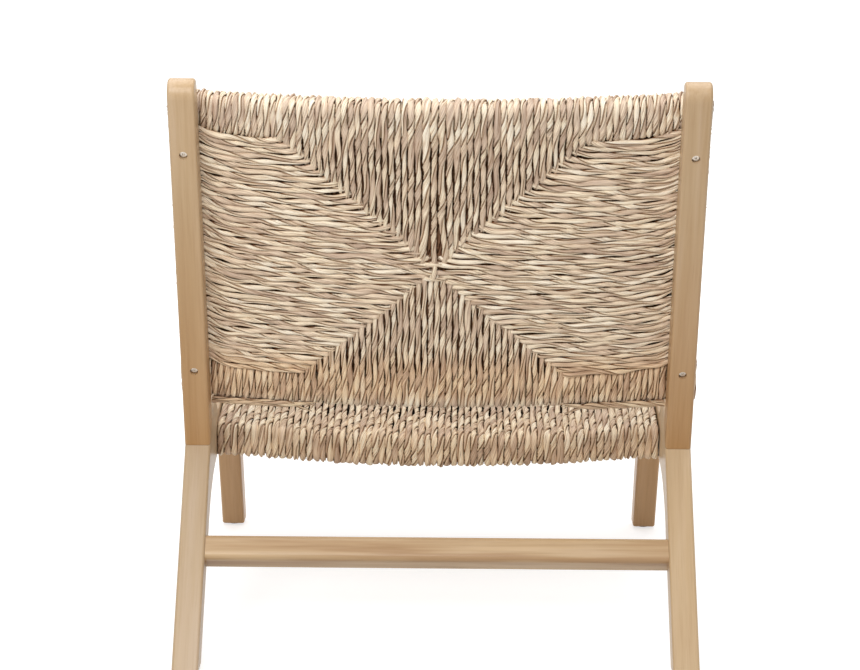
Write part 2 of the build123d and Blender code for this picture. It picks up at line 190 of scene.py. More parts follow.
def over_edge(edge, high, radius=ROLL):
    """Section over a rail's outer edge, from the bulging face to the other one."""
    turn = np.linspace(pi / 2, 0, CORNER_POINTS)
    first = [(edge + radius * (cos(a) - 1), high + radius * (sin(a) - 1)) for a in turn]
    return first + [(s, -n) for s, n in reversed(first)]


DIVE_END = 1                # height at which a strand ends inside the seam
DIVE_REACHES = (0.55, 0.45)   # shares of its reach past the seam, where it has climbed
DIVE_HEIGHTS = (0.35, 0.84)   # to these shares of its height
ON_FACE, AT_RAIL = 2, 8     # this far from the seam it lies on the face, and as high as the rail


def seam_to_seam(panel, seam_at, edge, rail, share, lead, reach):
    """Section of a strand that dives at the seam on both faces and rolls over the rail."""
    height, flat_at = panel.height(share), seam_at + lead
    face = [(seam_at - reach, DIVE_END),
            (seam_at - DIVE_REACHES[0] * reach, DIVE_HEIGHTS[0] * height),
            (flat_at - DIVE_REACHES[1] * reach, DIVE_HEIGHTS[1] * height),
            (flat_at + ON_FACE, height), (max(rail, flat_at + AT_RAIL), panel.high)]
    return face + over_edge(edge, panel.high) + [(s, -n) for s, n in reversed(face)]


def round_rail(panel, edge, rail, inset=0):
    """Section of a loop wrapped closely round a rail, or inset in a coil on the rail's end."""
    outer_roll, inner_roll = (INNER_ROLL, COIL_ROLL) if inset else (ROLL, INNER_ROLL)
    outer = over_edge(edge - inset, panel.high - inset, outer_roll)
    inner = over_edge(edge - inset, panel.high - inset, inner_roll)
    inner = [(edge + rail - s, n) for s, n in inner]
    half, start = len(inner) // 2, (rail + inset, 0)
    return [start] + inner[:half][::-1] + outer + inner[half:][::-1] + [start]


class Strands:
    """Centre lines of strands, with what the geometry and the material need at each point."""

    def __init__(self):
        self.points, self.edges, self.values, self.total = [], [], [], 0

    def add(self, spots, closed, out, **values):
        """Add a line; out is the way from the panel's inside at each of its points."""
        count = len(spots)
        out = np.broadcast_to(out, (count, 3))
        chain = np.arange(count) + self.total
        links = np.stack([chain[:-1], chain[1:]], 1)
        if closed:
            links = np.concatenate([links, [[chain[-1], chain[0]]]])
        self.points.append(spots)
        self.edges.append(links)
        values = {k: np.broadcast_to(v, count) for k, v in values.items()}
        self.values.append({"centre": spots, "out": out, **values})
        self.total += count


def outward(panel, line, sign, upright, loop):
    """Way from the panel's inside at each point of a section line."""
    along = np.roll(line, -1, 0) - np.roll(line, 1, 0) if loop else np.gradient(line, axis=0)
    along /= np.maximum(np.sqrt((along ** 2).sum(1)), 1e-6)[:, None]
    across = panel.v_dir if upright else np.array((1, 0, 0))
    return np.outer(-along[:, 1] * sign, across) + np.outer(along[:, 0], panel.n_dir)


PART_FADE = 75         # along an upright strand, from where it is parted to where it is not
SIDE_REACH = 70        # strands are more uneven this close to a side frame
SIDE_PLAY = 0.8        # by this share of their own unevenness
HOOK_FADE = 9          # of the bend beside the seam
FACE_DEPTH = 6         # strands on the hollow face run straight from here outwards


def set_upright(panel, across, along, shift, wander, parting):
    """(u, v, lift) of a strand that runs along the panel."""
    u = np.full_like(along, across)
    u = u + wander * field(u, along) + shift + parting
    return u, along, panel.bulge(u)


def set_level(panel, across, along, n, shift, wander, seam, bend):
    """(u, v, lift) of a strand that runs across; on the hollow face it spans the bow."""
    v = np.full_like(along, across)
    near = smooth(1 - (INNER_HALF - np.abs(along)) / SIDE_REACH)
    v = v + wander * field(v, along) * (1 + near) + shift * (1 + SIDE_PLAY * near) + bend
    straight = (panel.bend_half - np.abs(along)) / (panel.bend_half - abs(seam))
    chord = np.clip(straight, 0, 1) * panel.bulge(seam)
    blend = smooth((n + FACE_DEPTH) / (2 * FACE_DEPTH))
    return along, v, blend * panel.bulge(along) + (1 - blend) * chord


RISE_REACH = (12, 45)  # of the strands' climb beside the side frames
RISE_FADE = {-1: 42, 1: 40}   # towards the ends of the panel
SPREAD_FADE = 50       # along a strand, where it thins out in front of the rear rail
ROLL_LEAD, ROLL_FADE = 22, 26   # a strand changes girth this far inside the rail, over this
SEED_SPAN = 1000       # each strand takes its marks from its own part of the leaf pattern


def lay(strands, panel, across, sign, upright, section, girth, seam=None, loop=False,
        wander=1.0, roll_girth=None, rail=0, hook=0.0, facing=0, bright=0.0):
    """Add one strand: its section line set across the panel, with its own unevenness."""
    rand = Random(rng.random())
    run, line = evenly(cut_corners(section), STEP)
    length = run[-1] if loop else 0
    if loop:
        run, line = run[:-1], line[:-1]
    s, n = line.T
    out = (facing, 0, 0) if facing else outward(panel, line, sign, upright, loop)
    side_drift, depth_drift = LOOP_DRIFT if loop else FREE_DRIFT
    shift = side_drift * ripple(run, rand, SIDE_WAVE, length)
    if upright:
        parting = hook * smooth(1 - (s - seam) / PART_FADE) if hook else 0
        u, v, lift = set_upright(panel, across, sign * s, shift, wander, parting)
    else:
        bend = hook * np.exp(-np.maximum(s - sign * seam, 0) / HOOK_FADE)
        u, v, lift = set_level(panel, across, sign * s, n, shift, wander, seam, bend)
    gap = np.maximum(INNER_HALF - np.abs(u), 0)
    raised = sum(rise * np.exp(-gap / reach) for rise, reach in zip(panel.rise, RISE_REACH))
    v = v + raised * (smooth((v - panel.ends[-1]) / RISE_FADE[-1])
                      * smooth((panel.ends[1] - v) / RISE_FADE[1]))
    n = n + lift + depth_drift * ripple(run, rand, DEPTH_WAVE, length)
    size = girth * (1 + GIRTH_PLAY * ripple(run, rand, GIRTH_WAVE, length)
                    + rand.uniform(-GIRTH_PLAY, GIRTH_PLAY))
    if panel.spread and upright and sign > 0:
        thinned = smooth((panel.ends[1] - SPREAD_FADE - v) / SPREAD_FADE)
        size = size * (1 - panel.spread * thinned)
    if roll_girth is not None:
        size = size * (1 + (roll_girth / girth - 1) * smooth((s - rail + ROLL_LEAD) / ROLL_FADE))
    if loop:
        speed = tau * round(length / TWIST) / length
    else:
        speed = tau / (TWIST if upright else LONG_TWIST) * rand.uniform(SLACK, TIGHT)
    turn = (run * speed + rand.uniform(0, tau)
            + TURN_PLAY * ripple(run, rand, TURN_WAVE, length))
    strands.add(panel.world(u, v, n), loop, out, run=(run + SEED_SPAN * rand.random()) * MM,
                girth=size, turn=turn, tone=rand.random(), pale=rand.random() + bright)


RAIL_GAP = 2           # between an end rail's inner side and the wraps
UPRIGHT_GAP = 1.1      # between the upright strands of a triangle
SEAM_LEAD, SEAM_REACH = 0.5, 0.6   # of an upright strand's dive at the seam, in pitches
ROLL_FILL, WRAP_FILL = 1.04, 1.03  # strands press on each other on the rails
UPRIGHT_WANDER, WRAP_WANDER, LEVEL_WANDER = 0.9, 0.5, 1.3
PARTED_PITCH = 1.2     # of the parted strands, in pitches
PARTED_EXTRA, PARTED_SHIFT = (0.4, 2, 0.4), (0, 4.5, 2.5)   # girth and shift, from the middle
END_ROOM = 3           # the wraps go this far past the outermost centre line
COIL_DEPTH = 0.3       # of the coil inside the outermost centre line
COIL_INSET, COIL_MIDDLE = 0.92, 1.6   # of its turn, in strands, and of its middle, in insets
COIL_GIRTH, MIDDLE_GIRTH = 1.05, 1.2
LEVEL_FILL = 0.99      # girth of the strands across, in pitches
LEVEL_BRIGHT = 0.3     # they are a little paler
FIRST_STRANDS = 5      # the strands next to the corner lie straighter


def end_sector(panel, end):
    """Strands wrapped over the rail at one end of a panel: two triangles and plain wraps."""
    strands, count = Strands(), panel.counts[end]
    opening, pitch = panel.openings[end], panel.openings[end] / count
    edge, rail = panel.ends[end] * end, panel.rails[end] * end + RAIL_GAP
    for side in (1, -1):
        for k in range(count):
            share, thick, roll, aside = (k + 0.5) / count, pitch - UPRIGHT_GAP, pitch, 0
            u, v = panel.seam(end, side, share)
            from_middle = count - 1 - k
            if panel.parted == end and from_middle < len(PARTED_SHIFT):
                if from_middle == 0 and side < 0:
                    continue
                thick, roll = thick + PARTED_EXTRA[from_middle], PARTED_PITCH * pitch
                u = panel.offset + side * roll * from_middle
                aside = side * PARTED_SHIFT[from_middle]
            section = seam_to_seam(panel, v * end, edge, rail, share, SEAM_LEAD * pitch,
                                   SEAM_REACH * pitch)
            lay(strands, panel, u, end, True, section, thick / STRAND, seam=v * end,
                roll_girth=ROLL_FILL * roll / STRAND, rail=rail, wander=UPRIGHT_WANDER,
                hook=aside)
        corner = side * opening + panel.offset
        room = panel.side_edge + END_ROOM - abs(corner)
        wraps = round(room / pitch)
        for k in range(wraps):
            u = corner + side * room * (k + 0.5) / wraps
            lay(strands, panel, u, end, True, round_rail(panel, edge, rail),
                WRAP_FILL * room / wraps / STRAND, loop=True, wander=WRAP_WANDER)
        if panel.side_edge > INNER_HALF:     # the cord is coiled over the rail's open end
            u, inset = side * (panel.side_edge - COIL_DEPTH), COIL_INSET * STRAND
            lay(strands, panel, u, end, True, round_rail(panel, edge, rail, inset), COIL_GIRTH,
                loop=True, wander=0, facing=side)
            middle = [(rail + COIL_MIDDLE * inset, 0), (edge - COIL_MIDDLE * inset, 0)]
            lay(strands, panel, u, end, True, middle, MIDDLE_GIRTH, wander=0, facing=side)
    return strands


def side_sector(panel, side):
    """Strands wrapped over one side rail, from the seams of both ends."""
    strands = Strands()
    for end in (1, -1):
        count = panel.counts[end]
        pitch = abs(panel.rails[end] - panel.crossing) / count
        for k in range(count):
            share = (k + 0.5) / count
            u, v = panel.seam(end, side, share)
            reach = panel.openings[end] / count
            section = seam_to_seam(panel, u * side, panel.side_edge, panel.side_rail, share,
                                   0, reach)
            lay(strands, panel, v, side, False, section, LEVEL_FILL * pitch / STRAND, seam=u,
                wander=LEVEL_WANDER * min(1, (k + 0.5) / FIRST_STRANDS),
                hook=end * panel.hook[end], bright=LEVEL_BRIGHT)
    return strands


CORE_PITCH, CORE_GIRTH, CORE_DRIFT = 6.2, 1.12, 1.5
CORE_HALF = 2.4        # the two inner layers lie this far from the middle
CORE_PAST = 20         # the upright ones reach this far past the triangle's base
CORE_GAP = 2           # between the level ones and the side rails
CORE_START = 3         # first level one
CORE_PALE = 0.15


def core(panel):
    """Inner strands that cross between the two faces and close the gaps of the weave."""
    strands = Strands()
    low, high = panel.core_ends
    wide, reach = panel.openings[1] + CORE_PAST, panel.side_rail - CORE_GAP
    upright = [((u, low), (u, high), CORE_HALF) for u in np.arange(-wide, wide, CORE_PITCH)]
    level = [((-reach, v), (reach, v), -CORE_HALF)
             for v in np.arange(low + CORE_START, high, CORE_PITCH)]
    for start, stop, n in upright + level:
        rand = Random(rng.random())
        run, line = evenly(np.array([start, stop], float), CORE_STEP)
        u, v = line.T
        drift = CORE_DRIFT * ripple(run, rand, CORE_WAVE)
        if n > 0:
            u = u + drift
        else:
            v = v + drift
        strands.add(panel.world(u, v, n + panel.bulge(u)), False, panel.n_dir, run=run * MM,
                    girth=CORE_GIRTH, turn=run * tau / TWIST + rand.uniform(0, tau),
                    tone=rand.random(), pale=CORE_PALE * rand.random())
    return strands


# the turns at the crossing: from (u, v), to (u, v), height above the middle
CROSSING_TURNS = (((-3, 248), (16, 247), 8.5), ((5, 246), (6, 228), 9.5),
                  ((-7, 227), (18, 227.5), 8.5))
TURN_SINK = 5          # their ends go this deep
TURN_GIRTH, TURN_TONE, TURN_PALE = 0.8, 0.7, 1.2


def crossing(strands, panel):
    """Short turns of cord that hold the four sectors where they meet."""
    for start, stop, n in CROSSING_TURNS:
        low = n - TURN_SINK
        line = np.array([(*start, low), (*start, n), (*stop, n), (*stop, low)], float)
        run, line = evenly(cut_corners(line), TURN_STEP)
        u, v, n = line.T
        strands.add(panel.world(u, v, n + panel.bulge(u)), False, panel.n_dir, run=run * MM,
                    girth=TURN_GIRTH, turn=run * tau / TWIST + start[0], tone=TURN_TONE,
                    pale=TURN_PALE)


# ------------------------------------------------------------ strand geometry
def strand_tree():
    """Node tree that turns guide lines into cords of two flat plies twisted together."""
    tree = bpy.data.node_groups.new("Twisted cord", "GeometryNodeTree")
    face = tree.interface
    face.new_socket("Geometry", in_out="INPUT", socket_type="NodeSocketGeometry")
    face.new_socket("Geometry", in_out="OUTPUT", socket_type="NodeSocketGeometry")
    for name, kind, value in (("Ply half width", "NodeSocketFloat", 3.8 * MM),
                              ("Ply half thickness", "NodeSocketFloat", 1.85 * MM),
                              ("Ply offset", "NodeSocketFloat", 1.5 * MM),
                              ("Lesser ply share", "NodeSocketFloat", 0.85),
                              ("Ply sides", "NodeSocketInt", 8),
                              ("Material", "NodeSocketMaterial", None)):
        socket = face.new_socket(name, in_out="INPUT", socket_type=kind)
        if value is not None:
            socket.default_value = value
    new, link = tree.nodes.new, tree.links.new
    given, result = new("NodeGroupInput"), new("NodeGroupOutput")

    def named(name, kind="FLOAT"):
        node = new("GeometryNodeInputNamedAttribute")
        node.data_type = kind
        node.inputs["Name"].default_value = name
        return node.outputs["Attribute"]

    def stored(geometry, name, value):
        node = new("GeometryNodeStoreNamedAttribute")
        node.data_type, node.domain = "FLOAT", "POINT"
        link(geometry, node.inputs["Geometry"])
        node.inputs["Name"].default_value = name
        if isinstance(value, (int, float)):
            node.inputs["Value"].default_value = value
        else:
            link(value, node.inputs["Value"])
        return node.outputs["Geometry"]

    def maths(a, b, operation="MULTIPLY"):
        node = new("ShaderNodeMath")
        node.operation = operation
        for socket, value in zip(node.inputs, (a, b)):
            if isinstance(value, (int, float)):
                socket.default_value = value
            else:
                link(value, socket)
        return node.outputs["Value"]

    def vector_maths(a, b, operation, out="Vector"):
        node = new("ShaderNodeVectorMath")
        node.operation = operation
        link(a, node.inputs[0])
        link(b, node.inputs[1])
        return node.outputs[out]

    def vector(**parts):
        node = new("ShaderNodeCombineXYZ")
        for axis, value in parts.items():
            link(value, node.inputs[axis])
        return node.outputs["Vector"]

    curve = new("GeometryNodeMeshToCurve")
    link(given.outputs["Geometry"], curve.inputs["Mesh"])
    tilt = new("GeometryNodeSetCurveTilt")
    link(curve.outputs["Curve"], tilt.inputs["Curve"])
    link(named("turn"), tilt.inputs["Tilt"])

    circle = new("GeometryNodeCurvePrimitiveCircle")
    circle.inputs["Radius"].default_value = 1
    link(given.outputs["Ply sides"], circle.inputs["Resolution"])
    place = new("GeometryNodeSplineParameter")
    around = stored(circle.outputs["Curve"], "around", place.outputs["Factor"])
    position, parts = new("GeometryNodeInputPosition"), new("ShaderNodeSeparateXYZ")
    link(position.outputs["Position"], parts.inputs["Vector"])
    join = new("GeometryNodeJoinGeometry")
    # crease is high on the side of each ply that faces the other, where the material paints shade
    around = stored(around, "crease", maths(parts.outputs["Y"], -1.0))
    for ply in range(2):
        angle = ply * pi
        wide, thick = given.outputs["Ply half width"], given.outputs["Ply half thickness"]
        if ply == 0:
            wide = maths(wide, given.outputs["Lesser ply share"])
            thick = maths(thick, given.outputs["Lesser ply share"])
        shape = new("GeometryNodeTransform")
        link(around, shape.inputs["Geometry"])
        link(vector(X=maths(given.outputs["Ply offset"], -sin(angle)),
                    Y=maths(given.outputs["Ply offset"], cos(angle))),
             shape.inputs["Translation"])
        shape.inputs["Rotation"].default_value = (0, 0, angle)
        link(vector(X=wide, Y=thick), shape.inputs["Scale"])
        sweep = new("GeometryNodeCurveToMesh")
        link(tilt.outputs["Curve"], sweep.inputs["Curve"])
        link(shape.outputs["Geometry"], sweep.inputs["Profile Curve"])
        link(named("girth"), sweep.inputs["Scale"])
        sweep.inputs["Fill Caps"].default_value = True
        link(stored(sweep.outputs["Mesh"], "ply", float(ply)), join.inputs["Geometry"])
    # lift: how far a point stands out of its strand, used for painted shade in the gaps
    off = vector_maths(position.outputs["Position"], named("centre", "FLOAT_VECTOR"),
                       "SUBTRACT")
    rise = vector_maths(off, named("out", "FLOAT_VECTOR"), "DOT_PRODUCT", "Value")
    radius = maths(given.outputs["Ply offset"], given.outputs["Ply half thickness"], "ADD")
    size = maths(named("girth"), radius)
    lifted = stored(join.outputs["Geometry"], "lift", maths(rise, size, "DIVIDE"))
    for name in ("centre", "out"):
        remove = new("GeometryNodeRemoveAttribute")
        link(lifted, remove.inputs["Geometry"])
        remove.inputs["Name"].default_value = name
        lifted = remove.outputs["Geometry"]
    real = new("GeometryNodeRealizeInstances")
    link(lifted, real.inputs["Geometry"])
    soft = new("GeometryNodeSetShadeSmooth")
    link(real.outputs["Geometry"], soft.inputs["Geometry"])
    paint = new("GeometryNodeSetMaterial")
    link(soft.outputs["Geometry"], paint.inputs["Geometry"])
    link(given.outputs["Material"], paint.inputs["Material"])
    link(paint.outputs["Geometry"], result.inputs["Geometry"])
    return tree


cord_tree = strand_tree()


def cord_piece(name, strands, material, slot, replaced=(), **inputs):
    """Plain mesh piece of the cords along the given strands."""
    guide = bpy.data.meshes.new(name + "_guide")
    points, edges = np.concatenate(strands.points), np.concatenate(strands.edges)
    guide.vertices.add(len(points))
    guide.vertices.foreach_set("co", points.astype(np.float32).ravel())
    guide.edges.add(len(edges))
    guide.edges.foreach_set("vertices", edges.astype(np.int32).ravel())
    for key in strands.values[0]:
        data = np.concatenate([v[key] for v in strands.values]).astype(np.float32)
        kind, field_name = ("FLOAT", "value") if data.ndim == 1 else ("FLOAT_VECTOR", "vector")
        guide.attributes.new(key, kind, "POINT").data.foreach_set(field_name, data.ravel())
    guide.update()
    holder = bpy.data.objects.new(name + "_guide", guide)
    bpy.context.scene.collection.objects.link(holder)
    modifier = holder.modifiers.new("Cord", "NODES")
    modifier.node_group = cord_tree
    values = {"Material": material, **inputs}
    for item in cord_tree.interface.items_tree:
        if item.in_out == "INPUT" and item.name in values:
            modifier[item.identifier] = values[item.name]
    holder.update_tag()
    graph = bpy.context.evaluated_depsgraph_get()
    mesh = bpy.data.meshes.new_from_object(holder.evaluated_get(graph), depsgraph=graph)
    mesh.name = name
    bpy.data.objects.remove(holder)
    bpy.data.meshes.remove(guide)
    piece = bpy.data.objects.new(name, mesh)
    bpy.context.scene.collection.objects.link(piece)
    if replaced:
        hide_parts(*replaced)
    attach(piece, "root")
    return piece


# ------------------------------------------------------------ materials
def srgb(r, g, b):
    """Linear colour of an sRGB triple from 0 to 255."""
    def line(c):
        c /= 255
        return c / 12.92 if c <= 0.04045 else ((c + 0.055) / 1.055) ** 2.4
    return (line(r), line(g), line(b), 1)


class Shader:
    """Small helper that builds a material's node tree."""

    def __init__(self, name):
        self.material = bpy.data.materials.new(name)
        self.material.use_nodes = True
        self.tree = self.material.node_tree
        self.bsdf = self.tree.nodes["Principled BSDF"]

    def node(self, kind, inputs=(), out=0, **settings):
        node = self.tree.nodes.new("ShaderNode" + kind)
        for key, value in settings.items():
            setattr(node, key, value)
        for key, value in dict(inputs).items():
            self.feed(node.inputs[key], value)
        return node.outputs[out]

    def feed(self, socket, value):
        if isinstance(value, bpy.types.NodeSocket):
            self.tree.links.new(value, socket)
        else:
            socket.default_value = value

    def attribute(self, name):
        return self.node("Attribute", out="Fac", attribute_name=name)

    def maths(self, operation, a, b=0.0, clamp=False):
        return self.node("Math", {0: a, 1: b}, operation=operation, use_clamp=clamp)

    def noise(self, vector, scale, detail=2.0, rough=0.5, distort=0.0):
        return self.node("TexNoise", {"Vector": vector, "Scale": scale, "Detail": detail,
                                      "Roughness": rough, "Distortion": distort})

    def ramp(self, value, stops):
        node = self.tree.nodes.new("ShaderNodeValToRGB")
        ramp = node.color_ramp
        while len(ramp.elements) < len(stops):
            ramp.elements.new(0.5)
        for element, (at, colour) in zip(ramp.elements, stops):
            element.position = at
            element.color = colour
        self.feed(node.inputs["Fac"], value)
        return node.outputs["Color"]

    def mix(self, share, a, b, blend="MIX"):
        """Colour b over a by the given share."""
        node = self.tree.nodes.new("ShaderNodeMix")
        node.data_type, node.blend_type = "RGBA", blend
        node.clamp_factor = True
        self.feed(node.inputs[0], share)
        self.feed(node.inputs[6], a)
        self.feed(node.inputs[7], b)
        return node.outputs[2]

    def combine(self, x, y, z):
        return self.node("CombineXYZ", {"X": x, "Y": y, "Z": z})

    def bump(self, height, strength, distance):
        out = self.node("Bump", {"Height": height, "Strength": strength, "Distance": distance})
        self.feed(self.bsdf.inputs["Normal"], out)

    def finish(self, **inputs):
        """The material, with the given inputs of its surface set."""
        for key, value in inputs.items():
            self.feed(self.bsdf.inputs[key.replace("_", " ")], value)
        return self.material


WHITE = (1, 1, 1, 1)
LEAF_TONES = ((0.0, srgb(198, 173, 152)), (0.3, srgb(217, 194, 171)),
              (0.55, srgb(238, 217, 191)), (0.8, srgb(252, 236, 208)),
              (1.0, srgb(254, 242, 221)))
TONE_LANE, PLY_LANE = 37.0, 11.3   # strands and plies lie this far apart in the leaf pattern
SPLIT_LANE = 5.0                   # and the splits from the other marks
MEAN_TONE = 0.66
DRIFT_SHARE, PATCH_SHARE, FOLD_SHARE = 1.2, 0.6, 1.3   # what each pattern does to the tone
PLY_SHARE, PALE_SHARE = -0.40, 0.30                    # and the second ply, and a pale strand
# painted shade in the gaps between strands fades out over this span of lift
GAP_SHADE_LOW, GAP_SHADE_HIGH = -0.3, 0.42     # lift from the bottom of a gap to the open face
LEAF_HEIGHT = 0.7                  # height that counts as 1 in the ramp by height, metres
LEAF_BUMP, LEAF_BUMP_DEPTH, FOLD_BUMP = 0.6, 0.0009, 1.6


def leaf_cord(name, tint=WHITE):
    """Dried leaf: one ply cream, one grey-brown by stretches, folded lengthwise, with fibres."""
    s = Shader(name)
    run, ply = s.attribute("run"), s.attribute("ply")
    tone, pale, around = s.attribute("tone"), s.attribute("pale"), s.attribute("around")
    lane = s.maths("ADD", s.maths("MULTIPLY", tone, TONE_LANE),
                   s.maths("MULTIPLY", ply, PLY_LANE))

    def stretches(rate, layer, rough):
        """Tones that change along a ply, by a rate in changes to a metre."""
        spot = s.combine(s.maths("MULTIPLY", run, rate), lane, layer)
        return s.noise(spot, 1.0, 2.0, rough)

    def streaks(rate, round_rate, detail, rough, layer=lane):
        """Lengthwise marks, by a rate along the ply and one round it."""
        spot = s.combine(s.maths("MULTIPLY", run, rate),
                         s.maths("MULTIPLY", around, round_rate), layer)
        return s.noise(spot, 1.0, detail, rough)

    def part(pattern, share):
        """What a pattern adds to the tone, or takes away where it is low."""
        return s.maths("MULTIPLY", s.maths("SUBTRACT", pattern, 0.5), share)

    folds = streaks(15.0, 10.0, 2.0, 0.5)
    choice = s.maths("ADD", part(stretches(9.0, 0.0, 0.6), DRIFT_SHARE),
                     part(stretches(34.0, 4.0, 0.5), PATCH_SHARE))
    choice = s.maths("ADD", choice, part(folds, FOLD_SHARE))
    lean = s.maths("ADD", s.maths("MULTIPLY", ply, PLY_SHARE),
                   s.maths("MULTIPLY", pale, PALE_SHARE))
    level = s.maths("ADD", s.maths("ADD", choice, lean), MEAN_TONE, clamp=True)
    colour = s.ramp(level, LEAF_TONES)
    split = streaks(13.0, 12.0, 1.0, 0.4, s.maths("ADD", lane, SPLIT_LANE))
    fibre = streaks(34.0, 42.0, 3.0, 0.65)
    place = s.node("TexCoord", out="Object")
    height = s.maths("DIVIDE", s.node("SeparateXYZ", {"Vector": place}, out="Z"), LEAF_HEIGHT)
    # share for the painted shade in the gaps, from a gap's bottom to the open face
    depth = s.node("MapRange", {"Value": s.attribute("lift"), "From Min": GAP_SHADE_LOW,
                                "From Max": GAP_SHADE_HIGH})
    # painted by height: the seat's rear edge warmer as painted shade, the back's lower edge
    # a painted highlight where its wraps face up to the light
    # browner as painted shade where its wraps face down, its upper edge cooler and lighter as
    warmer, browner, cooler = (1.07, 1.01, 0.93, 1), (0.96, 0.87, 0.77, 1), (1.02, 1.04, 1.07, 1)
    for value, stops in (
            (split, ((0.455, WHITE), (0.49, (0.50, 0.38, 0.29, 1)), (0.525, WHITE))),
            (fibre, ((0.34, (0.66, 0.56, 0.47, 1)), (0.47, WHITE), (0.66, (1.16, 1.16, 1.15, 1)))),
            # painted shade on the side of each ply that faces the other one
            (s.attribute("crease"), ((0.2, WHITE), (0.75, (0.56, 0.44, 0.34, 1)))),
            # painted shade in the gaps between strands, darkest at their bottom
            (depth, ((0.0, (0.05, 0.022, 0.012, 1)), (0.5, (0.36, 0.21, 0.125, 1)), (0.88, WHITE))),
            (height, ((0.31, warmer), (0.36, WHITE), (0.42, WHITE), (0.44, browner),
                      (0.49, browner), (0.53, WHITE), (0.90, WHITE), (0.95, cooler)))):
        colour = s.mix(1.0, colour, s.ramp(value, stops), "MULTIPLY")
    colour = s.mix(1.0, colour, tint, "MULTIPLY")
    s.bump(s.maths("ADD", s.maths("MULTIPLY", folds, FOLD_BUMP), fibre), LEAF_BUMP,
           LEAF_BUMP_DEPTH)
    return s.finish(Base_Color=colour, Roughness=0.55, Specular_IOR_Level=0.2)


# painted shade: the tint that darkens and reddens a board towards its second height
WARM_SHADE_TINT = (0.86, 0.68, 0.45, 1)
LINE_SHARE, PORE_SHARE, SEAM_SHARE = 0.7, 0.4, 0.8
SEAM_HALF = 0.00045    # half width of the dark line at a seam between boards, metres


def wood(name, lean, seed, across=False, seams=(), shade_heights=(), bold=0.0, tint=WHITE):
    """Oiled pale wood with its grain along a board whose top leans back by an angle.

    The wood turns darker and warmer from the first to the second of its two given heights, in
    metres, as painted shade, and has dark bands along it where bold is above zero.
    """
    s = Shader(name)
    place = s.node("TexCoord", out="Object")
    turn = (0, radians(90), 0) if across else (lean, 0, 0)
    grain = s.node("Mapping", {"Vector": place, "Rotation": turn, "Location": (seed, 0, 0)})

    def marks(rate, stretch, detail, rough, distort=0.0):
        """Marks of a rate across the board, in changes to a metre, drawn out along it."""
        drawn = s.node("Mapping", {"Vector": grain, "Scale": (1, 1, stretch)})
        return s.noise(drawn, rate, detail, rough, distort)

    broad = marks(42.0, 0.06, 3.0, 0.55, 0.6)
    figure = marks(230.0, 0.035, 4.0, 0.6)
    colour = s.ramp(broad, ((0.28, srgb(183, 152, 112)), (0.5, srgb(192, 163, 126)),
                            (0.72, srgb(198, 171, 139))))
    lines = s.ramp(figure, ((0.30, (0.88, 0.83, 0.76, 1)), (0.52, WHITE),
                            (0.75, (1.04, 1.04, 1.03, 1))))
    colour = s.mix(LINE_SHARE, colour, lines, "MULTIPLY")
    pores = s.ramp(marks(900.0, 0.02, 2.0, 0.5), ((0.30, (0.84, 0.77, 0.68, 1)), (0.42, WHITE)))
    colour = s.mix(PORE_SHARE, colour, pores, "MULTIPLY")
    if bold:
        bands = s.ramp(marks(75.0, 0.05, 2.0, 0.5),
                       ((0.38, (0.68, 0.55, 0.40, 1)), (0.47, (0.88, 0.82, 0.74, 1)),
                        (0.54, WHITE), (0.66, (1.12, 1.14, 1.14, 1))))
        colour = s.mix(bold, colour, bands, "MULTIPLY")
    # painted shade: darker, redder wood from the first height to the second
    if shade_heights:
        height = s.node("SeparateXYZ", {"Vector": place}, out="Z")
        share = s.node("MapRange", {"Value": height, "From Min": shade_heights[0], "From Max": shade_heights[1]})
        colour = s.mix(share, colour, s.mix(1.0, colour, WARM_SHADE_TINT, "MULTIPLY"))
    if tint != WHITE:
        colour = s.mix(1.0, colour, tint, "MULTIPLY")
    for point, normal in seams:
        reach = s.node("VectorMath", {0: place, 1: point}, operation="SUBTRACT")
        off = s.node("VectorMath", {0: reach, 1: normal}, out="Value", operation="DOT_PRODUCT")
        near = s.maths("LESS_THAN", s.maths("ABSOLUTE", off), SEAM_HALF)
        colour = s.mix(s.maths("MULTIPLY", near, SEAM_SHARE), colour, srgb(92, 64, 40))
    s.bump(figure, 0.12, 0.0008)
    rough = s.node("MapRange", {"Value": broad, "To Min": 0.40, "To Max": 0.52})
    return s.finish(Base_Color=colour, Roughness=rough, Specular_IOR_Level=0.4,
                    Coat_Weight=0.25, Coat_Roughness=0.22)


FINE_BUMP_DEPTH = 0.0004   # metres


def plain(name, colour, rough, metal=0.0):
    """Even surface with a fine uneven tone and bump."""
    s = Shader(name)
    place = s.node("TexCoord", out="Object")
    fine = s.noise(place, 400.0, 3.0, 0.6)
    shade = s.ramp(fine, ((0.3, (0.86, 0.86, 0.86, 1)), (0.7, (1.06, 1.06, 1.06, 1))))
    s.bump(fine, 0.1, FINE_BUMP_DEPTH)
    return s.finish(Base_Color=s.mix(1.0, colour, shade, "MULTIPLY"), Roughness=rough,
                    Metallic=metal)


def end_grain(name):
    """Round end of a dowel or plug: rings and dark pores."""
    s = Shader(name)
    place = s.node("TexCoord", out="Object")
    rings = s.noise(place, 700.0, 3.0, 0.6)
    colour = s.ramp(rings, ((0.3, srgb(160, 122, 82)), (0.7, srgb(197, 162, 120))))
    s.bump(rings, 0.15, FINE_BUMP_DEPTH)
    return s.finish(Base_Color=colour, Roughness=0.5)


def point_in(forward, height):
    """Point of the side frames' profile, in metres."""
    return (0, (JOINT_Y - forward) * MM, height * MM)


post_seam = (point_in(0, JOINT_Z), (0, cos(REAR_LEG_LEAN), sin(REAR_LEG_LEAN)))
rail_seam = (point_in(98, 0), (0, -1, 0))

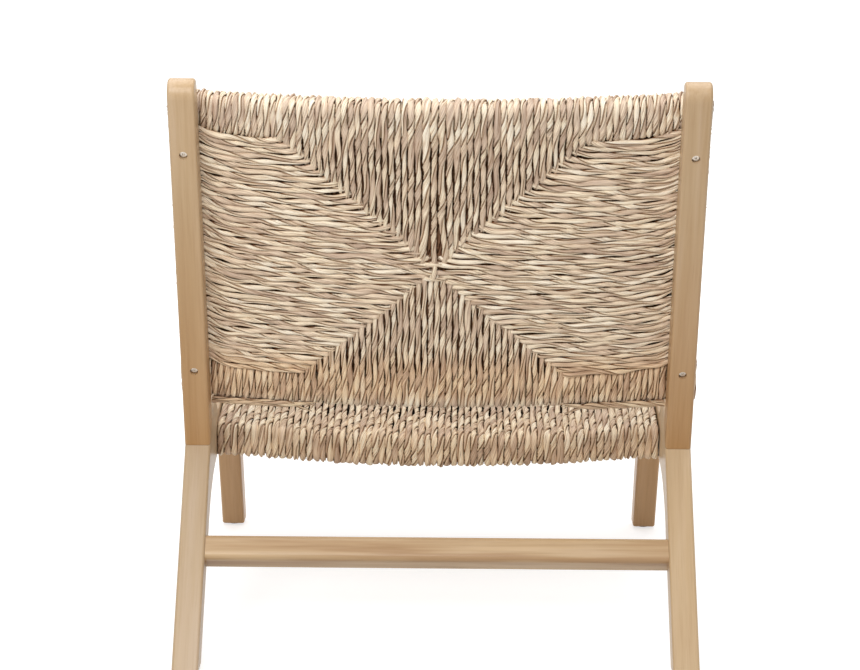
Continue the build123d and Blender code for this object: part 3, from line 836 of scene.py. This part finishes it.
leaf = leaf_cord("Leaf cord")
# the inner strands are painted dark brown as shade inside the weave
shaded_inner_leaf = leaf_cord("Leaf cord, inner, painted shade", tint=(0.33, 0.22, 0.155, 1))
tie_leaf = leaf_cord("Leaf cord, tie", tint=(0.86, 0.80, 0.72, 1))
paint = {
    # the posts turn darker and redder low down as painted shade
    "back_post_left": wood("Post wood left", POST_LEAN, 0.3, seams=[post_seam],
                           shade_heights=(0.58, 0.25)),
    # the right post is painted a little darker than the left as shade
    "back_post_right": wood("Post wood right", POST_LEAN, 1.7, seams=[post_seam],
                            shade_heights=(0.58, 0.25), tint=(0.95, 0.94, 0.93, 1)),
    # rear legs: the left painted darker and cooler, the right lighter, as painted shade and light
    "rear_leg_left": wood("Rear leg wood left", -REAR_LEG_LEAN, 2.9, seams=[rail_seam],
                          tint=(0.90, 0.92, 0.96, 1)),
    "rear_leg_right": wood("Rear leg wood right", -REAR_LEG_LEAN, 4.1, seams=[rail_seam],
                           tint=(1.06, 1.08, 1.1, 1)),
    "side_rail_left": wood("Side rail wood left", radians(-80), 5.3, seams=[rail_seam]),
    "side_rail_right": wood("Side rail wood right", radians(-80), 6.2, seams=[rail_seam]),
    # front legs: painted warmer as bounce light in the shade under the seat, the right also lighter
    "front_leg_left": wood("Front leg wood left", FRONT_LEG_LEAN, 7.7,
                           tint=(1.08, 0.92, 0.75, 1)),
    "front_leg_right": wood("Front leg wood right", FRONT_LEG_LEAN, 8.8,
                            tint=(1.22, 1.05, 0.88, 1)),
    "rear_stretcher": wood("Stretcher wood", 0, 9.4, across=True, bold=0.75,
                           tint=(1.04, 1.03, 1.02, 1)),
}
inner_wood = wood("Inner frame wood", 0, 11.0, across=True)
steel = plain("Screw steel", (0.72, 0.66, 0.58, 1), 0.42, metal=0.85)
glide = plain("Glide plastic", (0.018, 0.017, 0.016, 1), 0.5)
dowel = end_grain("Dowel end grain")
by_slot = {"inner_frame_wood": inner_wood, "screw_steel": steel, "glide_plastic": glide,
           "dowel_wood": dowel, "woven_leaf": leaf, "tie_cord": tie_leaf}
slots = {row["node"]: row["material_slot"] for row in frame["record"]["subparts"]}
for name, node in nodes.items():
    node.material_slots[0].material = paint.get(name) or by_slot[slots[name]]

# ------------------------------------------------------------ woven pieces
for panel, title, end_names in ((back, "back", {1: "top", -1: "bottom"}),
                                (seat, "seat", {1: "rear", -1: "front"})):
    for end, word in end_names.items():
        strands = end_sector(panel, end)
        if (title, word) == ("back", "top"):
            crossing(strands, panel)
        cord_piece(f"{title}_{word}_strands", strands, leaf, "woven_leaf",
                   [f"{title}_weave_{word}"])
    for side, word in ((1, "left"), (-1, "right")):
        cord_piece(f"{title}_{word}_strands", side_sector(panel, side), leaf, "woven_leaf",
                   [f"{title}_weave_{word}"])
    cord_piece(f"{title}_core_strands", core(panel), shaded_inner_leaf, "woven_leaf",
               **{"Ply sides": 6})

# ------------------------------------------------------------ ties under the back panel
TIE_SEED = 90
TIE_FROM, TIE_TO, TIE_STEP = 282, 182, 6   # u of the part that is twisted together
TIE_V, TIE_N = 46, 17.5                    # middle of the tie at the side frame
TIE_CLIMB = 45                             # it climbs 1 in this towards the chair's middle
TIE_RADIUS, TIE_WIND = 2.3, 15             # of the strips round its middle, mm to a radian
TIE_TWIST = 70                             # one full turn of a strip's own plies
TIE_POINTS = 3                             # between points of a strip
TIPS = (-9, 1.5, 5)                        # how far the strips' loose ends rise
TAPER, TAPER_POWER = 0.75, 6               # they thin out at the very end

for side, word in ((1, "left"), (-1, "right")):
    strands, rand = Strands(), Random(TIE_SEED + side)
    for strip, tip in enumerate(TIPS):
        turned = strip * tau / len(TIPS)
        twisted = [(u, TIE_V + (TIE_FROM - u) / TIE_CLIMB + TIE_RADIUS * cos(u / TIE_WIND + turned),
                    TIE_N + TIE_RADIUS * sin(u / TIE_WIND + turned))
                   for u in np.arange(TIE_FROM, TIE_TO, -TIE_STEP)]
        loose = [(172, 48 + 0.4 * tip, 18), (157 - 4 * strip, 46.5 + tip, 16)]
        run, line = evenly(cut_corners(np.array(twisted + loose)), TIE_POINTS)
        u, v, n = line.T
        strands.add(back.world(side * u, v, n + back.bulge(u)), False, back.n_dir,
                    run=(run + 200 * strip) * MM,
                    girth=1 - TAPER * smooth((run / run[-1]) ** TAPER_POWER),
                    turn=run * tau / TIE_TWIST + turned, tone=rand.random(), pale=0.4 * strip)
    cord_piece(f"back_tie_{word}_cord", strands, tie_leaf, "tie_cord", [f"back_tie_{word}"],
               **{"Ply half width": 2.6 * MM, "Ply half thickness": 1.4 * MM,
                  "Ply offset": 1.0 * MM})

# ------------------------------------------------------------ floor, light and camera
scene = bpy.context.scene


def plainly_seen(tree):
    """1 for rays from the camera, off glossy and through clear surfaces, 0 for the others."""
    path = tree.nodes.new("ShaderNodeLightPath")
    seen = path.outputs["Is Camera Ray"]
    for name in ("Is Glossy Ray", "Is Transmission Ray"):
        larger = tree.nodes.new("ShaderNodeMath")
        larger.operation = "MAXIMUM"
        tree.links.new(seen, larger.inputs[0])
        tree.links.new(path.outputs[name], larger.inputs[1])
        seen = larger.outputs["Value"]
    return seen


def floor_material():
    """Pale floor that stays white to the eye and keeps the chair's soft shadow."""
    s = Shader("Floor")
    place = s.node("TexCoord", out="Object")
    far = s.node("VectorMath", {0: place}, out="Value", operation="LENGTH")
    glow = s.node("MapRange", {"Value": far, "From Min": 0.8, "From Max": 1.5,
                               "To Min": 0.66, "To Max": 1.0})
    return s.finish(Base_Color=(0.62, 0.61, 0.60, 1), Roughness=0.9, Specular_IOR_Level=0.0,
                    Emission_Color=WHITE,
                    Emission_Strength=s.maths("MULTIPLY", plainly_seen(s.tree), glow))


FLOOR_HALF = 30
floor_mesh = bpy.data.meshes.new("Floor")
floor_mesh.from_pydata([(x * FLOOR_HALF, y * FLOOR_HALF, 0)
                        for x, y in ((-1, -1), (1, -1), (1, 1), (-1, 1))], [], [(0, 1, 2, 3)])
floor_mesh.materials.append(floor_material())
floor = bpy.data.objects.new("Floor", floor_mesh)
scene.collection.objects.link(floor)

world = bpy.data.worlds.new("Studio")
world.use_nodes = True
scene.world = world
air = world.node_tree
background = air.nodes["Background"]
level = air.nodes.new("ShaderNodeMapRange")
level.inputs["To Min"].default_value = 0.58     # strength at which the world lights the chair
level.inputs["To Max"].default_value = 1.0      # and at which it is seen, white
air.links.new(plainly_seen(air), level.inputs["Value"])
background.inputs["Color"].default_value = WHITE
air.links.new(level.outputs["Result"], background.inputs["Strength"])


def area_light(name, spot, aim, size, power):
    """Square white lamp at a spot, turned to aim."""
    lamp = bpy.data.lights.new(name, "AREA")
    lamp.shape, lamp.size, lamp.energy = "SQUARE", size, power
    holder = bpy.data.objects.new(name, lamp)
    holder.location = spot
    holder.rotation_euler = (Vector(aim) - Vector(spot)).to_track_quat("-Z", "Y").to_euler()
    holder.visible_camera = False
    scene.collection.objects.link(holder)


area_light("Key", spot=(0.45, 1.8, 1.6), aim=(0, 0.2, 0.5), size=1.1, power=21)
area_light("Top", spot=(0, -0.2, 2.8), aim=(0, 0, 0.3), size=2.2, power=38)

# the camera looks at the back of the chair from a little above
yaw, pitch, roll = radians(-0.409), radians(10.625), radians(0.385)
ahead = np.array((sin(yaw) * cos(pitch), cos(yaw) * cos(pitch), -sin(pitch)))
level_right = np.array((cos(yaw), -sin(yaw), 0))
upward = np.cross(level_right, ahead)
right = level_right * cos(roll) + upward * sin(roll)
upward = upward * cos(roll) - level_right * sin(roll)
turned = np.array((-1, -1, 1))           # the camera stands behind the chair
axes = np.stack([right * turned, upward * turned, -ahead * turned], 1)
camera_data = bpy.data.cameras.new("Camera")
camera_data.sensor_width, camera_data.lens = 36, 108.7
camera = bpy.data.objects.new("Camera", camera_data)
camera_spot = (-0.0119, JOINT_Y * MM + 3.1514, 0.9733)
camera.matrix_world = Matrix.Translation(camera_spot) @ Matrix(axes.tolist()).to_4x4()
scene.collection.objects.link(camera)
scene.camera = camera
scene.view_settings.view_transform = "Standard"
